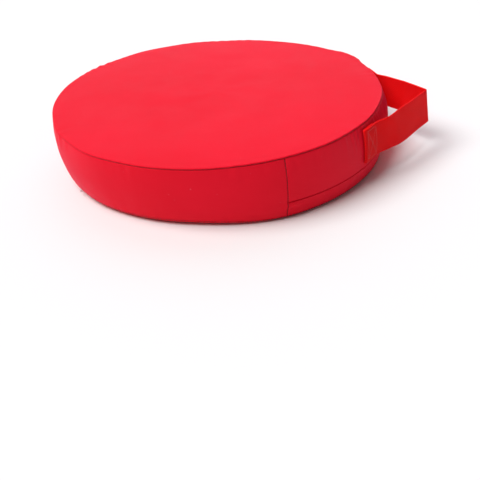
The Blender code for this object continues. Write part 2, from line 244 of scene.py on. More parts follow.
def seam_offset(bearing):
    """How far the upper seam departs from its circle."""
    away_from_zip = 1 - window(bearing, *ZIP_SIDE, 20)
    return (SHOULDER * window(bearing, 132, 166, 34) + CORNER * window(bearing, 37, 42, 9)
            - HOLLOW * window(bearing, 72, 82, 22)
            + WOBBLE * rim_wobble(bearing) * (0.35 + 0.65 * away_from_zip))


def lower_offset(bearing):
    """How far the lower seam departs from its circle."""
    return seam_offset(bearing) * 0.3 - LEAN * tucked(bearing)


def lower_lift(bearing):
    """How far the lower seam rises."""
    return LIFT * tucked(bearing)


rim = seam_offset(np.arange(360.0)) * 1000
print(f"the upper seam departs from its circle by {rim.min():.1f} to {rim.max():.1f} mm")

# %% [markdown]
# ## Swelling the cover with a cloth simulation
#
# The foam presses the cover outwards and the seams hold it in. A coarse drum of cloth is
# inflated a little with both seams pinned and the cloth cut slightly too large, as it is when it
# is eased into a seam. Only the movement is kept: it is read off the coarse drum and added to the
# fine panels later, so the seams can stay crisp.

# %% Draw and build a coarse drum
AROUND = 180
TOP_RINGS = 24
BAND_RINGS = 14
UNDER_RINGS = 14
HUB = 0.006                 # radius of the innermost ring
CROWN_HOLD = 0.85           # how firmly foam keeps the top, from 0 to 1
BAND_HOLD = 0.12
UNDER_HOLD = 1.0


def belly(share):
    """How far the band stands out, share of the way down from the upper seam."""
    return (BELLY - SEAM_RADIUS) * (1 - (2 * share - 1) ** 2)


def drum_profile():
    """(radius, height, hold) down the outside of the drum, hold being how firmly foam keeps it."""
    rings = []
    for radius in spread(HUB, SEAM_RADIUS, TOP_RINGS):
        crown = (CROWN_TOP - SEAM_TOP) * (1 - (radius / SEAM_RADIUS) ** 3)
        rings.append((radius, SEAM_TOP + crown, CROWN_HOLD))
    for share in spread(0, 1, BAND_RINGS)[1:]:
        z = SEAM_TOP + (SEAM_BOTTOM - SEAM_TOP) * share
        rings.append((SEAM_RADIUS + belly(share), z, BAND_HOLD))
    for radius in spread(SEAM_RADIUS, HUB, UNDER_RINGS)[1:]:
        rings.append((radius, SEAM_BOTTOM, UNDER_HOLD))
    return rings


def make_drum(rings):
    """The coarse drum, with its seams and its foam-backed rings in a pin group."""
    bm = bmesh.new()
    turns = [2 * math.pi * i / AROUND for i in range(AROUND)]
    grid = [[bm.verts.new((r * math.cos(a), r * math.sin(a), z)) for a in turns]
            for r, z, _ in rings]
    for upper, lower in zip(grid, grid[1:]):
        for i in range(AROUND):
            j = (i + 1) % AROUND
            bm.faces.new((upper[j], upper[i], lower[i], lower[j]))
    bm.faces.new(grid[0])
    bm.faces.new(grid[-1][::-1])
    mesh = bpy.data.meshes.new("drum")
    bm.to_mesh(mesh)
    bm.free()
    drum = bpy.data.objects.new("drum", mesh)
    bpy.context.scene.collection.objects.link(drum)
    pins = drum.vertex_groups.new(name="pins")
    seams = (TOP_RINGS - 1, TOP_RINGS + BAND_RINGS - 2)
    for row, (*_, hold) in enumerate(rings):
        members = list(range(row * AROUND, (row + 1) * AROUND))
        pins.add(members, 1.0 if row in seams else hold, "REPLACE")
    print(f"drum of {len(rings)} rings with {AROUND} points each")
    return drum

# %% [markdown]
# ## Inflating the drum
#
# Pressure without gravity is enough, because the foam carries the weight. The movement is capped,
# smoothed a little along the rim, as a stiff coating would do, and split in two: the even
# swelling and the wrinkles, each of which is kept in part.

# %% Inflate the drum
SIM_FRAMES = 20
SWELL_LIMIT = 0.0035
SLACK_CUT = -0.006          # shrinking below nothing: the cloth is cut this share too large
EASING = 2                  # rounds of smoothing along the rim
EVEN_KEPT = 0.4             # share kept of the even swelling
UNEVEN_KEPT = 0.5           # share kept of the wrinkles


def dress_drum(drum):
    """Turn the drum into cloth under pressure."""
    cloth = drum.modifiers.new("cloth", "CLOTH")
    cloth.settings.quality = 6
    cloth.settings.mass = 0.15
    cloth.settings.tension_stiffness = 20
    cloth.settings.compression_stiffness = 20
    cloth.settings.shear_stiffness = 8
    cloth.settings.bending_stiffness = 0.05
    cloth.settings.use_pressure = True
    cloth.settings.uniform_pressure_force = 4
    cloth.settings.shrink_min = SLACK_CUT
    cloth.settings.vertex_group_mass = "pins"
    cloth.settings.pin_stiffness = 1.0
    cloth.settings.effector_weights.gravity = 0
    cloth.collision_settings.use_collision = False
    cloth.point_cache.frame_start = 1
    cloth.point_cache.frame_end = SIM_FRAMES


def inflate_drum():
    """Movement of the drum, outward and upward, one row per ring and one column per bearing."""
    rings = drum_profile()
    drum = make_drum(rings)
    dress_drum(drum)
    scene = bpy.context.scene
    for number in range(1, SIM_FRAMES + 1):
        scene.frame_set(number)
    evaluated = drum.evaluated_get(bpy.context.evaluated_depsgraph_get())
    shape = (len(rings), AROUND, 3)
    moved = np.array([v.co for v in evaluated.data.vertices]).reshape(shape)
    first = np.array([v.co for v in drum.data.vertices]).reshape(shape)
    bpy.data.objects.remove(drum)
    scene.frame_set(1)
    outward = np.hypot(moved[..., 0], moved[..., 1]) - np.hypot(first[..., 0], first[..., 1])
    lift = moved[..., 2] - first[..., 2]
    movement = np.clip(np.stack([outward, lift], -1), -SWELL_LIMIT, SWELL_LIMIT)
    even = movement.mean(1, keepdims=True)
    for _ in range(EASING):
        sides = np.roll(movement, 1, 1) + np.roll(movement, -1, 1)
        movement = movement * 0.5 + sides * 0.25
    return even * EVEN_KEPT + (movement - even) * UNEVEN_KEPT


drum_swell = inflate_drum()
print(f"the drum moves by up to {np.abs(drum_swell).max() * 1000:.2f} mm")

# %% [markdown]
# ## Reading the movement off the drum
#
# The drum is coarse and the panels are fine, so the movement is read between the drum's points,
# with the four nearest ones weighted by how close they are. The stack of rings is cut at the
# seams: the top panel uses the upper part and the band the middle part.

# %% Read the movement
top_swell = drum_swell[:TOP_RINGS]
band_swell = drum_swell[TOP_RINGS - 1:TOP_RINGS + BAND_RINGS - 1]
for label, part in (("band outward", band_swell[..., 0]), ("top upward", top_swell[..., 1])):
    print(f"{label}: mean {part.mean() * 1000:.2f} mm, spread {part.std() * 1000:.2f} mm")


def swell_at(rows, bearing, share):
    """Movement of the drum at a bearing, share of the way through a stack of its rows."""
    columns = np.mod(bearing / 360 * AROUND, AROUND)
    c = np.floor(columns).astype(int) % AROUND
    cf = (columns - np.floor(columns))[..., None]
    r = np.clip(share, 0, 1) * (len(rows) - 1)
    low = np.minimum(np.floor(r).astype(int), len(rows) - 2)
    rf = (r - low)[..., None]
    upper = rows[low, c] * (1 - cf) + rows[low, (c + 1) % AROUND] * cf
    lower = rows[low + 1, c] * (1 - cf) + rows[low + 1, (c + 1) % AROUND] * cf
    return upper * (1 - rf) + lower * rf

# %% [markdown]
# ## Building blocks for sewn cloth
#
# Every panel is a grid of points. At a seam its edge rolls in through a small round and goes on
# inside the cushion as a seam allowance, so two panels meet in a fine groove, as sewn cloth does.
# Every finished piece says which technical pieces it stands for and which body it moves with.

# %% Make pieces, edges and grids
ROLL = 0.0010               # radius of a seamed edge
ALLOWANCE = 0.0030
ROLL_STEPS = 5


def add_piece(name, mesh, material, slot, body, *nodes):
    """A finished piece that stands for technical nodes and moves with a body; slot is not used."""
    piece = bpy.data.objects.new(name, mesh)
    bpy.context.scene.collection.objects.link(piece)
    mesh.materials.clear()
    mesh.materials.append(material)
    mesh.shade_smooth()
    if body:
        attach(piece, body)
    if nodes:
        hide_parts(*nodes)
    print(f"{name}: {len(mesh.vertices)} points, for {', '.join(nodes)}")
    return piece


def edge_in(roll=ROLL):
    """(offset from the seam, depth) from the face of a panel to the end of its allowance."""
    rows = []
    for step in range(ROLL_STEPS + 1):
        angle = math.pi / 2 * step / ROLL_STEPS
        rows.append((roll * (1 - math.sin(angle)), roll * (1 - math.cos(angle))))
    return rows + [(0.0, roll + ALLOWANCE / 2), (0.0, roll + ALLOWANCE)]


def grid_mesh(name, points, flat, closed=False):
    """A mesh of a grid of points, with flat cloth coordinates in metres as its map."""
    rows, columns = points.shape[:2]
    corners = points.reshape(-1, 3)
    faces, places = [], []
    last = columns if closed else columns - 1
    for r in range(rows - 1):
        for c in range(last):
            n = (c + 1) % columns
            faces.append((r * columns + c, (r + 1) * columns + c,
                          (r + 1) * columns + n, r * columns + n))
            places += [flat[r, c], flat[r + 1, c], flat[r + 1, c + 1], flat[r, c + 1]]
    mesh = bpy.data.meshes.new(name)
    mesh.from_pydata(corners, [], faces)
    layer = mesh.uv_layers.new(name="cloth")
    layer.data.foreach_set("uv", np.array(places, dtype=float).ravel())
    mesh.update()
    return mesh


print(f"a seamed edge takes {len(edge_in())} rows of points")

# %% [markdown]
# ## Closing and thickening
#
# A grid has no thickness, and one side of it looks in. Each cloth panel gets the thickness of
# coated nylon on its inner side from a modifier, applied at once, so that the mesh is what it
# looks like. Closed meshes have their faces turned outward.

# %% Close and thicken
CLOTH = 0.0004


def closed_map(points):
    """The plan of a closed grid as its cloth map, with the first column again at the end."""
    return np.concatenate([points[..., :2], points[:, :1, :2]], 1)


def face_outward(mesh):
    """Turn the faces of a closed mesh outward."""
    bm = bmesh.new()
    bm.from_mesh(mesh)
    bmesh.ops.recalc_face_normals(bm, faces=bm.faces)
    bm.to_mesh(mesh)
    bm.free()


def apply_modifiers(piece):
    """Swap a piece's mesh for what its modifiers make of it."""
    made = bpy.data.meshes.new_from_object(
        piece.evaluated_get(bpy.context.evaluated_depsgraph_get()))
    piece.modifiers.clear()
    old = piece.data
    piece.data = made
    bpy.data.meshes.remove(old)


def thicken(piece, thickness):
    """Give a panel its thickness on the inner side, and apply it."""
    solid = piece.modifiers.new("thickness", "SOLIDIFY")
    solid.thickness = thickness
    solid.offset = -1.0
    apply_modifiers(piece)


print(f"the cover cloth is {CLOTH * 1000:.1f} mm thick")

# %% [markdown]
# ## Shader helpers
#
# The finishes are built from a few procedural parts: noise for unevenness, ranges of values and
# mixes of colours. Small functions for these parts keep each finish short. What is the same all
# over a surface is set on the shader's own sockets.

# %% Write the shader helpers
def new_finish(name):
    """A new material, its nodes and its main shader."""
    print("finish:", name)
    material = bpy.data.materials.new(name)
    material.use_nodes = True
    tree = material.node_tree
    return material, tree, tree.nodes["Principled BSDF"]


def noise(tree, scale, detail=3.0, roughness=0.5):
    """Noise over the object's own space."""
    place = tree.nodes.new("ShaderNodeTexCoord")
    node = tree.nodes.new("ShaderNodeTexNoise")
    node.inputs["Scale"].default_value = scale
    node.inputs["Detail"].default_value = detail
    node.inputs["Roughness"].default_value = roughness
    tree.links.new(place.outputs["Object"], node.inputs["Vector"])
    return node.outputs["Fac"]


def mapped(tree, value, low, high, from_low=0.0, from_high=1.0):
    """A value moved from one range to another."""
    node = tree.nodes.new("ShaderNodeMapRange")
    node.inputs["From Min"].default_value = from_low
    node.inputs["From Max"].default_value = from_high
    node.inputs["To Min"].default_value = low
    node.inputs["To Max"].default_value = high
    tree.links.new(value, node.inputs["Value"])
    return node.outputs["Result"]


def blended(tree, share, first, second):
    """Two colours mixed by a share."""
    node = tree.nodes.new("ShaderNodeMix")
    node.data_type = "RGBA"
    node.clamp_factor = True
    tree.links.new(share, node.inputs[0])
    for socket, value in ((node.inputs[6], first), (node.inputs[7], second)):
        if isinstance(value, tuple):
            socket.default_value = (*value, 1.0)
        else:
            tree.links.new(value, socket)
    return node.outputs[2]


def set_constants(shader, **values):
    """Fixed shader values, by socket name with spaces as underscores."""
    for name, value in values.items():
        shader.inputs[name.replace("_", " ")].default_value = value

# %% [markdown]
# ## Weave and bump
#
# A plain weave could be an image of cloth, but two sine waves do it: one along the cloth and one
# across. Where their product is far from zero a thread stands up, and its sign says which of the
# two threads is on top. Bumps are laid over each other: each takes the one below as its normal.

# %% Write the weave and the bump
def maths(tree, operation, first, second=None):
    """A maths node fed by sockets or numbers."""
    node = tree.nodes.new("ShaderNodeMath")
    node.operation = operation
    for socket, value in zip(node.inputs, (first, second)):
        if isinstance(value, (int, float)):
            socket.default_value = value
        elif value is not None:
            tree.links.new(value, socket)
    return node.outputs[0]


def bumped(tree, height, distance, strength, below=None):
    """A bump of a height, laid over another one."""
    node = tree.nodes.new("ShaderNodeBump")
    node.inputs["Distance"].default_value = distance
    node.inputs["Strength"].default_value = strength
    tree.links.new(height, node.inputs["Height"])
    if below is not None:
        tree.links.new(below, node.inputs["Normal"])
    return node.outputs["Normal"]


def weave(tree, along_pitch, across_pitch):
    """A plain weave over the cloth's map: height 0 to 1, and which thread is on top, -1 to 1."""
    cloth_map = tree.nodes.new("ShaderNodeUVMap")
    cloth_map.uv_map = "cloth"
    split = tree.nodes.new("ShaderNodeSeparateXYZ")
    tree.links.new(cloth_map.outputs["UV"], split.inputs["Vector"])
    along, across = (maths(tree, "SINE", maths(tree, "MULTIPLY", way, math.pi / pitch))
                     for way, pitch in ((split.outputs["X"], along_pitch),
                                        (split.outputs["Y"], across_pitch)))
    top = maths(tree, "MULTIPLY", along, across)
    return maths(tree, "ABSOLUTE", top), top

# %% [markdown]
# ## Red coated nylon
#
# The cover is a fine, tight plain weave with a soft coating. Seen close, it is a grid of threads;
# from a step away it is an even colour with a broad satin gloss and a pale bloom where it turns
# away. Slow noise makes the colour, the gloss and the surface slightly uneven, and a few specks
# of pale lint sit on it.

# %% Make the cover cloth
NYLON_PITCH = 0.00045       # from thread to thread


def make_cover_cloth():
    """Red coated nylon."""
    material, tree, shader = new_finish("red_coated_nylon")
    colour = blended(tree, mapped(tree, noise(tree, 9.0), 0.0, 1.0, 0.3, 0.7),
                     (0.77, 0.0052, 0.019), (0.83, 0.0068, 0.026))
    threads, _ = weave(tree, NYLON_PITCH, NYLON_PITCH)
    # painted shade: the gaps between the threads are darkened towards a deeper red in the colour
    colour = blended(tree, mapped(tree, threads, 0.20, 0.0), colour, (0.60, 0.004, 0.012))
    lint = mapped(tree, noise(tree, 620.0, 1.0), 0.0, 0.45, 0.800, 0.83)
    colour = blended(tree, lint, colour, (0.90, 0.45, 0.50))
    tree.links.new(colour, shader.inputs["Base Color"])
    tree.links.new(mapped(tree, noise(tree, 30.0), 0.44, 0.58), shader.inputs["Roughness"])
    soft = bumped(tree, noise(tree, 60.0, 2.0), 0.0010, 0.22)
    tree.links.new(bumped(tree, threads, 0.00006, 0.5, soft), shader.inputs["Normal"])
    set_constants(shader, Sheen_Weight=0.05, Sheen_Roughness=0.45,
                  Sheen_Tint=(1.0, 0.15, 0.75, 1.0), Specular_IOR_Level=0.06)
    return material


cover_cloth = make_cover_cloth()

# %% [markdown]
# ## The side band
#
# The band is one surface over bearing and height, and every piece of cloth, webbing and thread on
# the rim is laid on it. It starts as the round belly between the two seams. The bulges of the
# rim fade down it, the tuck of the lower edge fades up it, and the swelling of the drum is added,
# except beside the zip, where the cloth has to leave room for the slider.

# %% Shape the band
CHEEK_HEIGHT, CHEEK_HALF = 0.043, 0.014
ZIP_ROOM = 0.012            # how far above and below the zip the cloth stays tight
SLACK = 0.0006              # how far the cloth sags between the seams


def band_share(z):
    """Share of the way down the band."""
    return (SEAM_TOP - z) / (SEAM_TOP - SEAM_BOTTOM)


def band_base(bearing, z):
    """Radius of the band before the small folds."""
    share = np.clip(band_share(z), 0, 1)
    tuck = tucked(bearing)
    radius = SEAM_RADIUS + belly(share) * (1 - 0.55 * tuck)
    fall = 1.5 + 2.0 * window(bearing, *ZIP_SIDE, 10)
    radius = radius + seam_offset(bearing) * (1 - share) ** fall
    radius = radius + lower_offset(bearing) * share ** 1.3
    cheek = window(bearing, -13, 15, 12) * hump(z - CHEEK_HEIGHT, CHEEK_HALF)
    swell = swell_at(band_swell, bearing, share)[..., 0]
    slack = slow_waves(bearing) * np.sin(math.pi * share) * SLACK
    beside_zip = window(bearing, *ZIP_SIDE, 8) * hump(z - ZIP_HEIGHT, ZIP_ROOM)
    loose = (swell + slack * (0.3 + 0.7 * tuck)) * (1 - beside_zip)
    return radius + CHEEK * cheek + loose


at_handle = band_base(np.array(0.0), np.array(ZIP_HEIGHT))
print(f"inside the handle the band stands {at_handle * 1000:.1f} mm from the middle")

# %% [markdown]
# ## Puckers in the band
#
# Near its seams the cloth is gathered in small upright puckers, stronger beside the handle and
# the upright seams, where stiff webbing and the zip pull on it. They could be painted as a bump,
# but at the edges they show in outline, so they are real folds. Under the sewn webbing the band is
# held flat, and at the ends of the zip it folds once lengthways.

# %% Add the puckers
ROOT = 21.0                 # bearing where the webbing leaves the band, each side
SEWN_LENGTH = 0.020
FOLD = ROOT + math.degrees(SEWN_LENGTH / BELLY)
BESIDE_HANDLE = 26.0        # bearing of the strongest puckers
PUCKER = 0.00034
DEEPEST_FOLD = 0.0008
SEAM_GRIP = 0.0012          # a seam keeps the cloth flat for this far
TOP_REACH, LOW_REACH = 0.0085, 0.0075       # how far the puckers run from each seam


def pucker_strength(bearing):
    """How strongly the cloth is gathered at a bearing: patchy, and most beside the handle."""
    away = from_handle(bearing)
    patchy = np.clip(0.40 + 0.35 * patch_waves(bearing), 0.05, None)
    return patchy + 1.4 * hump(away - BESIDE_HANDLE, 10.0) + hump(away - ZIP_END, 3.5)


def under_strap(bearing, z):
    """1 where webbing lies on the band and holds it flat."""
    away = from_handle(bearing)
    beside = smooth((FOLD + 1.5 - away) / 1.2) * smooth((away - ROOT + 2.5) / 1.2)
    return beside * smooth((STRAP_HIGH + 0.0012 - z) / 0.002)


def from_seam(distance, reach):
    """Strength of a pucker at a distance from its seam: none at the seam, then fading."""
    distance = np.maximum(distance, 0)
    return np.exp(-distance / reach) * (1 - np.exp(-distance / SEAM_GRIP))


def band_surface(bearing, z):
    """Radius of the finished band over arrays of bearing and height."""
    away = from_handle(bearing)
    pleats = 2.2 * hump(away - BESIDE_HANDLE, 9.0) * pleat_waves(bearing)
    top_fold = (gather_waves(bearing) + pleats) * from_seam(SEAM_TOP - z, TOP_REACH)
    low_fold = gather_waves(bearing + 40) * from_seam(z - SEAM_BOTTOM, LOW_REACH)
    low_fold = low_fold * (0.5 + 0.8 * tucked(bearing))
    fold = (top_fold + low_fold) * pucker_strength(bearing) * PUCKER
    fold = DEEPEST_FOLD * np.tanh(fold / DEEPEST_FOLD) * (1 - under_strap(bearing, z))
    share = np.clip(band_share(z), 0, 1)
    crumple = fine_waves(bearing + z * 900) * np.sin(math.pi * share) * 0.00003
    ridge = 0.0011 * hump(z - ZIP_HEIGHT + 0.0034, 0.0024)
    groove = 0.0005 * hump(z - ZIP_HEIGHT, 0.0014)
    zip_fold = (ridge - groove) * hump(away - ZIP_END + 1.5, 3.0)
    return band_base(bearing, z) + fold + crumple + zip_fold


def on_band(bearing, z, depth=0.0, base=False):
    """Points at a depth behind the band, risen with its lower edge."""
    radius = (band_base if base else band_surface)(bearing, z) - depth
    share = np.clip(band_share(z), 0, 1)
    return around(bearing, radius, z + lower_lift(bearing) * share ** 2)


some = np.arange(0.0, 360.0, 0.5)
puckers = (band_surface(some, 0 * some + SEAM_TOP - 0.003) - band_base(some, 0 * some
           + SEAM_TOP - 0.003)) * 1000
print(f"puckers under the top seam: {puckers.min():.2f} to {puckers.max():.2f} mm")

# %% [markdown]
# ## Cutting the band
#
# The band could be one cylinder, but the real one is sewn from lengths of cloth: a plain length
# and, at the handle, two strips with the zip hidden between them. Each is a grid over bearing and
# height, rolled in at its edges, with the points closest together where the edges turn.

# %% Cut the band
COLUMN_STEP = 0.42          # degrees between columns of points
ROW_STEP = 0.0014


def band_strip(name, bearings, heights, *nodes, top_roll=ROLL, low_roll=ROLL):
    """A length of the band between two bearings and two heights, rolled in at its edges."""
    (start, end), (low, high) = bearings, heights
    degrees = 180 / math.pi / BELLY
    count = int((end - start) / COLUMN_STEP)
    inner = ROLL * degrees
    columns = [(start + offset * degrees, depth) for offset, depth in edge_in()[::-1]]
    columns += [(b, 0.0) for b in spread(start + inner, end - inner, count)[1:-1]]
    columns += [(end - offset * degrees, depth) for offset, depth in edge_in()]
    levels = [(high - offset, depth) for offset, depth in edge_in(top_roll)[::-1]]
    count = int((high - low) / ROW_STEP)
    levels += [(z, 0.0) for z in spread(high - top_roll, low + low_roll, count)[1:-1]]
    levels += [(low + offset, depth) for offset, depth in edge_in(low_roll)]
    bearing, z = np.meshgrid([b for b, _ in columns], [h for h, _ in levels])
    side, level = np.meshgrid([d for _, d in columns], [d for _, d in levels])
    points = on_band(bearing, z, np.maximum(side, level))
    flat = np.stack([np.radians(bearing) * BELLY, z], -1)
    piece = add_piece(name, grid_mesh(name, points, flat), cover_cloth, "cover_fabric",
                      "cover", *nodes)
    thicken(piece, CLOTH)


SEAM_HALF = 0.00025         # half the space between two cloths in a seam
ZIP_HALF_SLIT = 0.00035
ZIP_ROLL = 0.0004           # radius of the folded edges beside the zip
seam_degrees = math.degrees(SEAM_HALF / BELLY)
low_edge = SEAM_BOTTOM + SEAM_HALF
high_edge = SEAM_TOP - SEAM_HALF
plain_span = (ZIP_END + seam_degrees, 360 - ZIP_END - seam_degrees)
zip_span = (-ZIP_END + seam_degrees, ZIP_END - seam_degrees)
band_strip("plain_band", plain_span, (low_edge, high_edge), "front_band")
band_strip("zip_strip_upper", zip_span, (ZIP_HEIGHT + ZIP_HALF_SLIT, high_edge),
           "zip_band_upper", low_roll=ZIP_ROLL)
band_strip("zip_strip_lower", zip_span, (low_edge, ZIP_HEIGHT - ZIP_HALF_SLIT),
           "zip_band_lower", top_roll=ZIP_ROLL)

# %% [markdown]
# ## The round panels
#
# A disc from a menu would be dead flat. These are grids of rings round the middle: the top panel
# rises in a shallow crown, ends in a small lip over the seam, and is very slightly uneven where
# the foam shows through. The underside is flat where it rests on the floor.

# %% Draw the rings of the round panels
PANEL_COLUMNS = 480
LIP = 0.0007                # radius of the lip over the top seam
UNDER_FLAT = 1 - 0.016 / SEAM_RADIUS        # share of the underside that rests on the floor


def top_height(share):
    """Height of the crown over the seam, share of the way from the middle to the rim."""
    peak = CROWN_TOP - SEAM_TOP
    edge = SEAM_HALF + 2 * LIP
    return SEAM_TOP + edge + (peak - edge) * (1 - share ** 4)


def top_rings():
    """(share of the radius, inset, height) of the top panel, down round its lip."""
    lip_centre = SEAM_TOP + SEAM_HALF + LIP
    inner = 1 - (LIP + 0.0002) / SEAM_RADIUS
    shares = spread(0.02, 0.93, 34) + spread(0.935, inner, 14)
    rings = [(share, 0.0, top_height(share)) for share in shares]
    for angle in spread(80, -90, 9):
        turn = math.radians(angle)
        rings.append((1.0, LIP * (1 - math.cos(turn)), lip_centre + LIP * math.sin(turn)))
    return rings + [(1.0, LIP + ALLOWANCE * part, lip_centre - LIP) for part in (0.5, 1.0)]


def under_rings():
    """The same for the underside: flat, then rising to its seam."""
    edge = SEAM_BOTTOM - SEAM_HALF
    shares = spread(0.02, UNDER_FLAT, 20) + spread(UNDER_FLAT + 0.006, 0.9900, 12)
    rings = []
    for share in shares:
        rise = max(0.0, (share - UNDER_FLAT) / (1 - UNDER_FLAT))
        rings.append((share, 0.0, (edge - 0.0006) * rise ** 2))
    rings += [(1.0, ROLL, edge - 0.00025), (1.0, ROLL + 0.0002, edge)]
    return rings + [(1.0, ROLL + ALLOWANCE * part, edge) for part in (0.5, 1.0)]


print(f"{len(top_rings())} rings in the top panel, {len(under_rings())} in the underside")

# %% [markdown]
# ## Small unevenness of the round panels
#
# Foam under a tight panel gives three kinds of unevenness: the swelling of the drum, faded out at
# the middle and at the rim, small dimples where the seam is gathered, and a slow roll. On the
# underside only the rim moves: it rises with the tuck of the lower edge.

# %% Raise the round panels
LIFT_KEPT = 0.4             # share of the drum's lift that a taut top panel keeps
DIMPLE, DIMPLE_REACH = 0.00012, 0.006
SLOW_ROLL = 0.0010


def top_rise(bearing, share):
    """How far the top panel stands over its plain crown."""
    lift = swell_at(top_swell, bearing + 0 * share, share + 0 * bearing)[..., 1]
    lift = lift * smooth(share / 0.3) * (1 - share ** 8) * LIFT_KEPT
    near_rim = np.exp(-(1 - share) * SEAM_RADIUS / DIMPLE_REACH)
    dimple = (gather_waves(bearing) + 0 * share) * pucker_strength(bearing) * near_rim
    roll = slow_waves(bearing + share * 90) * share * (1 - share) * SLOW_ROLL
    return lift + dimple * DIMPLE + roll


def under_rise(bearing, share):
    """How far the underside stands over its plain dish."""
    rise = np.clip((share - UNDER_FLAT) / (1 - UNDER_FLAT), 0, 1)
    return lower_lift(bearing) * rise ** 2


some = np.arange(0.0, 360.0)
rise = top_rise(some, 0 * some + 0.6) * 1000
print(f"the top rises by {rise.min():.2f} to {rise.max():.2f} mm over its crown")

# %% [markdown]
# ## Cutting the round panels
#
# The grid of rings is closed in the middle by a fan of faces, because a grid cannot shrink to a
# point. The cloth map is the plan of the panel, so that the weave runs straight across it.

# %% Cut the top and the underside
def close_middle(mesh, outward):
    """Fill the innermost ring with a fan, facing the way the panel faces."""
    bm = bmesh.new()
    bm.from_mesh(mesh)
    bm.verts.ensure_lookup_table()
    hub = [bm.verts[i] for i in range(PANEL_COLUMNS)]
    layer = bm.loops.layers.uv["cloth"]
    middle = bm.verts.new(sum((v.co for v in hub), Vector()) / PANEL_COLUMNS)
    for i in range(PANEL_COLUMNS):
        face = bm.faces.new((hub[i], hub[(i + 1) % PANEL_COLUMNS], middle))
        for loop in face.loops:
            loop[layer].uv = loop.vert.co.xy
    bmesh.ops.recalc_face_normals(bm, faces=bm.faces)
    bm.faces.ensure_lookup_table()
    if bm.faces[-1].normal.z * outward < 0:
        bmesh.ops.reverse_faces(bm, faces=bm.faces)
    bm.to_mesh(mesh)
    bm.free()


def round_panel(name, rings, rim_offset, rise, outward, node):
    """A round panel from its rings; outward is 1 for the top and -1 for the underside."""
    share, inset, height = (np.array(column)[:, None] for column in zip(*rings))
    bearing = np.linspace(0, 360, PANEL_COLUMNS, endpoint=False)[None, :]
    radius = share * SEAM_RADIUS + rim_offset(bearing) * share ** 4 - inset
    points = around(bearing, radius, height + rise(bearing, share) + 0 * radius)
    mesh = grid_mesh(name, points, closed_map(points), closed=True)
    close_middle(mesh, outward)
    piece = add_piece(name, mesh, cover_cloth, "cover_fabric", "cover", node)
    thicken(piece, CLOTH)


round_panel("top_cloth", top_rings(), seam_offset, top_rise, 1, "top_panel")
round_panel("underside_cloth", under_rings(), lower_offset, under_rise, -1, "bottom_panel")

# %% [markdown]
# ## The foam inside
#
# The core could be left out, since no one sees it, but the cover would then be an empty bag when
# the zip is opened. It is one disc of pale open-cell foam with eased edges, a little smaller than
# the cover all round. Its pores are noise, in the bump and in the colour.

# %% Cut the foam
FOAM_EASE = 0.006           # rounding of the upper edge; the lower one has twice as much
FOAM_CROWN = 0.0015
COVER_SPACE = 0.0036        # between the foam and the face of the cover
TOP_SPACE = 0.0012


def make_foam_finish():
    """Pale open-cell foam."""
    material, tree, shader = new_finish("pale_foam")
    pores = noise(tree, 900.0, 2.0, 0.6)
    colour = blended(tree, mapped(tree, pores, 0.0, 1.0, 0.35, 0.6),
                     (0.62, 0.58, 0.44), (0.86, 0.83, 0.70))
    tree.links.new(colour, shader.inputs["Base Color"])
    tree.links.new(bumped(tree, pores, 0.0006, 0.8), shader.inputs["Normal"])
    set_constants(shader, Roughness=0.95, Specular_IOR_Level=0.15)
    return material


def foam_rings(top, bottom):
    """(share of the radius, inset, height) from the middle of the top to that of the underside."""
    ease, low_ease, shoulder = FOAM_EASE, 2 * FOAM_EASE, top - FOAM_CROWN
    rings = [(share, 0.0, top - FOAM_CROWN * share ** 4) for share in spread(0.02, 0.96, 12)]
    rings += [(1.0, ease * (1 - math.sin(a)), shoulder - ease * (1 - math.cos(a)))
              for a in spread(math.radians(10), math.radians(90), 5)]
    rings += [(1.0, 0.0, z) for z in spread(shoulder - ease, bottom + low_ease, 8)[1:]]
    rings += [(1.0, low_ease * (1 - math.cos(a)), bottom + low_ease * (1 - math.sin(a)))
              for a in spread(math.radians(15), math.radians(90), 6)]
    return rings + [(share, low_ease * share, bottom) for share in spread(0.9, 0.02, 10)]


def make_foam():
    """The core, kept clear of the cover all round."""
    low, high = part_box("foam_core")
    rings = foam_rings(high.z - TOP_SPACE, low.z)
    share, inset, z = (np.array(column)[:, None] for column in zip(*rings))
    bearing = np.linspace(0, 360, 180, endpoint=False)[None, :]
    limit = band_base(bearing + 0 * z, z + 0 * bearing) - COVER_SPACE
    radius = share * np.minimum(high.x, limit) - inset
    rise = lower_lift(bearing) * np.clip(band_share(z), 0, 1) ** 2 * share ** 6
    points = around(bearing, radius, z + rise)
    mesh = grid_mesh("foam", points, closed_map(points), closed=True)
    bm = bmesh.new()
    bm.from_mesh(mesh)
    bmesh.ops.holes_fill(bm, edges=bm.edges, sides=0)
    bm.to_mesh(mesh)
    bm.free()
    face_outward(mesh)
    piece = add_piece("foam", mesh, make_foam_finish(), "foam", "cover", "foam_core")


make_foam()

# %% [markdown]
# ## The hidden zip
#
# The zip is sewn behind the two strips, so only a dark slit shows. Behind the slit lie two woven
# tapes with a nylon coil along each edge. Both are small enough for a bump to carry the weave and
# for a slightly cloudy plastic to carry the coil.

# %% Make the zip's finishes
def make_tape_finish():
    """Woven polyester tape."""
    material, tree, shader = new_finish("zip_tape_weave")
    threads, _ = weave(tree, 0.0007, 0.0005)
    # painted shade: the colour is dark in the gaps between the threads and lighter on their crowns
    colour = blended(tree, threads, (0.30, 0.004, 0.010), (0.55, 0.010, 0.022))
    tree.links.new(colour, shader.inputs["Base Color"])
    tree.links.new(bumped(tree, threads, 0.00015, 0.6), shader.inputs["Normal"])
    set_constants(shader, Roughness=0.8, Sheen_Weight=0.2, Specular_IOR_Level=0.25)
    return material


